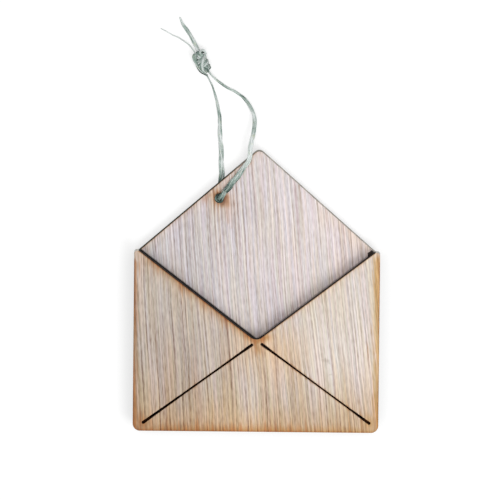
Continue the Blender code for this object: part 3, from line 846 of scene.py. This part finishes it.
def bend(way, height, bow):
    """From inside the hole out to where a strand starts, round the hole's rim."""
    arc_steps = 8
    points = []
    for step in range(arc_steps + 1):
        angle = math.pi / 2 * step / arc_steps
        aside = way * (BEND_RADIUS * (1 - math.cos(angle)))
        points.append(HOLE + aside + UP * (height + bow * (1 - math.sin(angle))))
    return [*points, HOLE + way * STRAND_START + UP * height]


def threaded_route():
    """Over the hole's rim, straight down the hole and out under the plate."""
    return bend(FRONT_WAY, OVER_FLAP_Z, -BEND_RADIUS)[::-1] + bend(REAR_WAY, TABLE_Z, BEND_RADIUS)


def strand_route(route, way, knot_end):
    middle_line = route_points(route, TWINE_DIAMETER / 2)
    start = HOLE + way * STRAND_START + UP * middle_line[0].z
    return [start, *middle_line, *knot_route(knot_end)]


def tail_route(route, diameter, knot_end, offset):
    port = (offset, KNOT_LENGTH / 2 + TWINE_GAP, 2 * TWINE_DIAMETER)
    return [*knot_route((knot_end, port)), *route_points(route, diameter / 2)]


def sampled(values, position):
    """Value at a share of the length, from evenly spread values."""
    place = position * (len(values) - 1)
    index = min(int(place), len(values) - 2)
    return values[index] + (values[index + 1] - values[index]) * (place - index)


def tangents(points):
    return [
        (points[min(len(points) - 1, index + 1)] - points[max(0, index - 1)]).normalized()
        for index in range(len(points))
    ]


def frame_at(tangent, side):
    """Tangent, side and lift, with the side made square to the tangent."""
    side = (side - tangent * side.dot(tangent)).normalized()
    return tangent, side, side.cross(tangent)


# Where the level side of a stretch is shorter than this, the stretch counts as upright
UPRIGHT = 0.35


def flat_frames(points):
    """Frames with a level side.  Upright stretches keep the last side."""
    frames = []
    side = Vector((1, 0, 0))
    for tangent in tangents(points):
        level = tangent.cross(UP)
        if level.length > UPRIGHT:
            level.normalize()
            side = level if level.dot(side) >= 0 or not frames else -level
        frames.append(frame_at(tangent, side))
        side = frames[-1][1]
    return frames


def turned_frames(points, side=UP):
    """Frames that turn as little as the bends allow."""
    frames = []
    for tangent in tangents(points):
        frames.append(frame_at(tangent, side))
        side = frames[-1][1]
    return frames


def wrap_frames(points):
    """Frames that keep a band's flat side against the knot it goes round."""
    return [frame_at(tangent, KNOT_ALONG + KNOT_ACROSS * 0.05) for tangent in tangents(points)]


def add_tube(shape, layer, points, radii, tones, sides):
    """A closed round tube with a radius and a tone for each of its points."""
    frames = turned_frames(points, Vector((0.3, 0.2, 1)))
    rings = []
    for point, radius, tone, (_, side, lift) in zip(points, radii, tones, frames):
        ring = []
        for number in range(sides):
            angle = 2 * math.pi * number / sides
            aside = side * (radius * math.cos(angle))
            above = lift * (radius * math.sin(angle))
            vert = shape.verts.new(point + aside + above)
            vert[layer] = tone
            ring.append(vert)
        rings.append(ring)
    for ring, after in zip(rings, rings[1:]):
        for number in range(sides):
            following = (number + 1) % sides
            shape.faces.new((ring[number], ring[following], after[following], after[number]))
    shape.faces.new(list(reversed(rings[0])))
    shape.faces.new(rings[-1])


FIBRE_STEP = 0.00030
FLOOR_LEVEL = 0.00003
# A fibre's drift, swell and shade change once in so many steps
DRIFT_STEPS = 14
SWELL_STEPS = 10
SHADE_STEPS = 9
HAIR_LENGTHS = (0.0009, 0.0028)
HAIR_RADII = (0.000016, 0.000030)
HAIR_TONE = 0.85


class TwinePiece:
    """A mesh of many fibres that lie side by side in flat, slowly turning bundles."""

    def __init__(self, name, seed):
        self.name = name
        self.rng = random.Random(seed)
        self.shape = bmesh.new()
        self.layer = self.shape.verts.layers.float.new("tone")

    def spread(self, count, low, high):
        return [self.rng.uniform(low, high) for _ in range(max(4, count))]

    def bundle(self, route, widths, tones, fibres=10, twist=0.030, flatness=0.40, framing=flat_frames):
        """Lay a bundle with a width and a tone for each share of its length."""
        rng = self.rng
        line = smooth_route(route, FIBRE_STEP)
        frames = framing(line)
        count = len(line)
        phase = rng.uniform(0, 2 * math.pi)
        for fibre in range(fibres):
            outer = fibre % 3 > 0
            lane = phase + 2 * math.pi * (fibre + rng.uniform(-0.25, 0.25)) / fibres
            depth = rng.uniform(0.86, 1.0) if outer else rng.uniform(0.15, 0.55)
            drift = self.spread(count // DRIFT_STEPS, -0.5, 0.5)
            swell = self.spread(count // SWELL_STEPS, 0.92, 1.06)
            shades = self.spread(count // SHADE_STEPS, -0.17, 0.17)
            own_tone = rng.uniform(-0.14, 0.14)
            points = []
            radii = []
            fibre_tones = []
            for index, (_, side, lift) in enumerate(frames):
                share = index / (count - 1)
                width = sampled(widths, share)
                radius = width * (0.95 / fibres + 0.035)
                angle = lane + 2 * math.pi * index * FIBRE_STEP / twist + sampled(drift, share)
                room = max(0.0, width / 2 - radius) * depth * sampled(swell, share)
                point = line[index] + side * (room * math.cos(angle))
                point += lift * (room * flatness * math.sin(angle))
                point.z = max(point.z, radius + FLOOR_LEVEL)
                points.append(point)
                radii.append(radius * (1.0 - 0.35 * abs(2 * share - 1) ** 12))
                # Fibres at a bundle's sides are darker: painted shade along its edges
                rim_shade = abs(math.cos(angle)) ** 3 * depth
                fibre_tones.append(sampled(tones, share) + own_tone + sampled(shades, share) - 0.17 * rim_shade)
            add_tube(self.shape, self.layer, points, radii, fibre_tones, 6)
        return line, frames

    def hairs(self, line, frames, widths, number):
        """Loose fibre ends that stand off a bundle."""
        rng = self.rng
        steps = 6
        for _ in range(number):
            start = rng.randrange(0, len(line) - 10)
            tangent, side, lift = frames[start]
            width = sampled(widths, start / (len(line) - 1))
            angle = rng.uniform(0, 2 * math.pi)
            out = side * math.cos(angle) + lift * abs(math.sin(angle))
            length = rng.uniform(*HAIR_LENGTHS)
            bend = rng.uniform(0.12, 0.6)
            along = tangent * rng.choice((-1, 1))
            hair = []
            for step in range(steps):
                share = step / (steps - 1)
                stand_off = width * 0.38 + length * 0.35 * bend * share ** 1.6
                point = line[start] + out * stand_off + along * (length * share)
                point.z = max(point.z, FLOOR_LEVEL * 2)
                hair.append(point)
            thin = rng.uniform(*HAIR_RADII)
            radii = [thin * (1 - 0.12 * step) for step in range(steps)]
            add_tube(self.shape, self.layer, hair, radii, [HAIR_TONE] * steps, 4)

    def finish(self, node, material):
        """Make the object and hand it to the part's own piece."""
        mesh = bpy.data.meshes.new(self.name)
        self.shape.to_mesh(mesh)
        self.shape.free()
        mesh.shade_smooth()
        mesh.materials.append(material)
        piece = add_object(self.name, mesh)
        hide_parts(node)
        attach(piece, "twine")
        return piece


def jute_material():
    """Dry jute: pale grey where the light falls, dark teal in painted shade between and beside the fibres."""
    graph = Graph("jute")
    tone = graph.node("ShaderNodeAttribute", attribute_name="tone").outputs["Fac"]
    position = graph.position()
    patches, dashes = (
        graph.minus(graph.noise(position, scale, roughness=0.6), 0.5) for scale in (420.0, 2600.0)
    )
    value = graph.plus(tone, graph.plus(graph.times(dashes, 0.35), graph.times(patches, 0.30)))
    colour = graph.ramp(value, (
        (0.02, srgb(40, 54, 48)),
        (0.17, srgb(101, 121, 113)),
        (0.31, srgb(152, 171, 163)),
        (0.48, srgb(195, 204, 199)),
        (0.75, srgb(225, 230, 229)),
    ))
    straw = graph.remap(graph.noise(position, 700.0, 1.0), 0.60, 0.72)
    colour = graph.tinted(colour, (0.98, 0.96, 0.72, 1), graph.times(straw, 0.5))
    graph.surface(colour, 0.88, 0.2)
    graph.shader.inputs["Sheen Weight"].default_value = 0.1
    graph.bump(dashes, 0.5, 0.00006)
    return graph.material


# Lines of the knot's parts: places across, along and above the table, from its middle
CORE = (
    (0.0003, -0.0047, 0.0026), (0.0003, -0.0015, 0.0030),
    (0.0005, 0.0018, 0.0030), (0.0006, 0.0048, 0.0027),
)
BAND = (
    (-0.0009, 0.0044, 0.0036), (-0.0018, 0.0034, 0.0040), (-0.0020, 0.0012, 0.0041),
    (-0.0018, -0.0012, 0.0041), (-0.0014, -0.0032, 0.0039), (-0.0007, -0.0046, 0.0033),
    (0.0001, -0.0060, 0.0024),
)
SASH = (
    (0.0026, 0.0022, 0.0034), (0.0012, 0.0012, 0.0055), (0.0, -0.0006, 0.0058),
    (-0.0006, -0.0026, 0.0050), (-0.0004, -0.0042, 0.0034),
)
EYE = (
    (0.0010, 0.0026, 0.0036), (0.0012, 0.0040, 0.0039), (0.0021, 0.0048, 0.0039),
    (0.0030, 0.0042, 0.0037), (0.0031, 0.0029, 0.0036), (0.0022, 0.0019, 0.0038),
)
# A small near-black bundle in the eye: painted shade in the eye's hole
EYE_SHADE = ((0.0021, 0.0040, 0.0036), (0.0024, 0.0037, 0.0037), (0.0026, 0.0033, 0.0036))
# The turns round the core: how many, where they start and their place in the knot
TURNS = 2.6
TURN_STEPS = 14
TURN_START = math.pi * 1.1
TURNS_ASIDE = 0.0004
TURNS_HEIGHT = 0.0029
TURNS_SPAN = (0.0026, -0.0030)


def turns_line():
    first, last = TURNS_SPAN
    places = []
    for step in range(round(TURNS * TURN_STEPS) + 1):
        share = step / (TURNS * TURN_STEPS)
        angle = TURN_START + 2 * math.pi * TURNS * share
        places.append((
            TURNS_ASIDE + KNOT_WRAP_RADIUS * math.cos(angle),
            first + (last - first) * share,
            TURNS_HEIGHT + KNOT_WRAP_RADIUS * 0.95 * math.sin(angle),
        ))
    return places


def make_knot(jute):
    """The tied knot: a core, the turns round it, a band on its left and a small eye on top, with a near-black
    bundle in the eye as painted shade.
    """
    knot = TwinePiece("knot", 23)

    def tie(places, widths, tones, fibres=8, flatness=0.5, **more):
        return knot.bundle(knot_route(places), widths, tones, fibres, flatness=flatness, **more)

    tie(CORE, (0.0024, 0.0040, 0.0044, 0.0040, 0.0026), (0.30, 0.42, 0.50, 0.42, 0.30), 14, 0.85, twist=0.012)
    turn_widths = (0.0017, 0.0021, 0.0022, 0.0022, 0.0020)
    turn_tones = (0.44, 0.52, 0.40, 0.50, 0.40, 0.50, 0.38)
    line, frames = tie(turns_line(), turn_widths, turn_tones, 10, twist=0.016, framing=wrap_frames)
    knot.hairs(line, frames, turn_widths, 20)
    tie(BAND, (0.0014, 0.0019, 0.0018, 0.0017, 0.0016, 0.0012, 0.0009), (0.34, 0.36, 0.32, 0.34, 0.26, 0.28))
    tie(SASH, (0.0012, 0.0015, 0.0016, 0.0014, 0.0010), (0.40, 0.52, 0.58, 0.50, 0.34))
    eye_widths = (0.0011, 0.0012, 0.0012, 0.0012, 0.0011)
    tie(EYE, eye_widths, (0.45, 0.58, 0.66, 0.62, 0.5), 7, 0.8, twist=0.014, framing=turned_frames)
    tie(EYE_SHADE, (0.0008, 0.0011, 0.0008), (-0.10, -0.15, -0.10), 4, 0.8)
    return knot.finish("twine_knot", jute)


# A loose turn of fibres that rings the twine where it goes into the hole, in the darkest tones as painted
# shade of the hole
COLLAR_RADIUS = 0.00150
COLLAR_Z = 0.00625
COLLAR_ANGLES = [math.radians(60 + 30 * step) for step in range(10)]


def make_threaded(jute):
    threaded = TwinePiece("threaded_twine", 11)
    widths = (0.0021, 0.0024, 0.0033, 0.0033, 0.0028, 0.0022, 0.0018, 0.0018)
    # Low tones: painted shade where the twine goes over the rim and down the hole
    tones = (0.36, 0.28, 0.20, 0.16, 0.26, 0.14, 0.20)
    line, frames = threaded.bundle(threaded_route(), widths, tones, fibres=14, twist=0.018, flatness=0.8)
    threaded.hairs(line, frames, widths, 10)
    collar = [HOLE + Vector((*point, COLLAR_Z)) for point in circle(COLLAR_RADIUS, COLLAR_ANGLES)]
    widths = (0.0010, 0.0013, 0.0014, 0.0013, 0.0012)
    threaded.bundle(collar, widths, (0.02, 0.02, 0.10, 0.12, 0.02, 0.04), fibres=8, flatness=0.7)
    return threaded.finish("twine_threaded", jute)


def lay_piece(name, seed, route, widths, tones, hairs, jute, fibres=10):
    """A piece of one bundle with loose hairs, and the line that it follows."""
    piece = TwinePiece(name, seed)
    line, frames = piece.bundle(route, widths, tones, fibres)
    piece.hairs(line, frames, widths, hairs)
    return piece.finish("twine_" + name, jute), line


def make_twine():
    jute = jute_material()
    threaded = make_threaded(jute)
    knot = make_knot(jute)
    long_tail, _ = lay_piece(
        "long_tail", 31,
        tail_route(LONG_TAIL_ROUTE, TWINE_DIAMETER, (0.0006, 0.0030, 0.0036), STRAND_SPREAD / 3),
        (0.0018, 0.0018, 0.0017, 0.0015, 0.0017, 0.0013, 0.0006),
        (0.46, 0.60, 0.50, 0.58, 0.48, 0.58, 0.64),
        10, jute, fibres=9,
    )
    thin_tail, _ = lay_piece(
        "thin_tail", 37,
        tail_route(THIN_TAIL_ROUTE, THIN_TAIL_DIAMETER, (-0.0008, 0.0036, 0.0034), -STRAND_SPREAD / 2),
        (0.0007, 0.0006, 0.0006, 0.0006, 0.0005),
        (0.40, 0.55, 0.62, 0.70, 0.75),
        5, jute, fibres=4,
    )
    # The strands' tones start low at the hole, painted shade there, and then follow the twine's own patches
    left, left_line = lay_piece(
        "left_strand", 41,
        strand_route(LEFT_ROUTE, REAR_WAY, ((-0.0001, -0.0062, 0.0024), (-0.0004, -0.0040, 0.0030))),
        (0.0026, 0.0027, 0.0022, 0.0021, 0.0020, 0.0017, 0.0016, 0.0012, 0.0008, 0.0006, 0.0007),
        (0.24, 0.40, 0.66, 0.50, 0.66, 0.60, 0.40, 0.50, 0.36, 0.46, 0.30),
        26, jute,
    )
    right, right_line = lay_piece(
        "right_strand", 43,
        strand_route(RIGHT_ROUTE, FRONT_WAY, ((0.0012, -0.0046, 0.0026), (0.0008, -0.0030, 0.0030))),
        (0.0029, 0.0028, 0.0024, 0.0022, 0.0023, 0.0021, 0.0019, 0.0016, 0.0012, 0.0012, 0.0010, 0.0011),
        (0.16, 0.32, 0.46, 0.58, 0.80, 0.74, 0.44, 0.56, 0.50, 0.38, 0.52, 0.36, 0.54, 0.44),
        30, jute,
    )


# Surroundings
FLOOR_SIZE = 4.0
FLOOR_Z = -0.0002
FLOOR_COLOUR = (0.46, 0.46, 0.46, 1)
FLOOR_GLOW = 0.58
WORLD_STRENGTH = 0.42
# Azimuth, angle from upright, distance, size and power of each light
LIGHTS = {
    "key": (math.radians(-37.6), math.radians(25), 0.9, 0.40, 2.0),
    "overhead": (0.0, 0.0, 0.9, 0.9, 4.6),
}


def make_floor():
    """A pale floor that reads as white to the camera and still takes the shadow."""
    bpy.ops.mesh.primitive_plane_add(size=FLOOR_SIZE, location=(0, 0, FLOOR_Z))
    floor = bpy.context.object
    floor.name = "floor"
    graph = Graph("pale_floor")
    graph.surface(FLOOR_COLOUR, 0.9, 0.0)
    rays = graph.node("ShaderNodeLightPath").outputs
    seen = 0.0
    for ray in ("Is Camera Ray", "Is Glossy Ray", "Is Transmission Ray"):
        seen = graph.math("ADD", seen, rays[ray], clamp=True)
    graph.shader.inputs["Emission Color"].default_value = (1, 1, 1, 1)
    graph.put(graph.shader.inputs["Emission Strength"], graph.times(seen, FLOOR_GLOW))
    floor.data.materials.append(graph.material)


def make_lights():
    world = bpy.data.worlds.new("studio")
    bpy.context.scene.world = world
    world.use_nodes = True
    background = world.node_tree.nodes["Background"]
    background.inputs["Color"].default_value = (1, 1, 1, 1)
    background.inputs["Strength"].default_value = WORLD_STRENGTH
    for name, (azimuth, from_upright, distance, size, power) in LIGHTS.items():
        way = Vector((
            math.sin(from_upright) * math.cos(azimuth),
            math.sin(from_upright) * math.sin(azimuth),
            math.cos(from_upright),
        ))
        data = bpy.data.lights.new(name, "AREA")
        data.shape = "DISK"
        data.size = size
        data.energy = power
        lamp = add_object(name, data)
        lamp.location = way * distance
        lamp.rotation_euler = way.to_track_quat("Z", "Y").to_euler()


make_camera()
make_floor()
make_lights()
make_plates()
make_twine()
bpy.context.scene.view_settings.view_transform = "Standard"
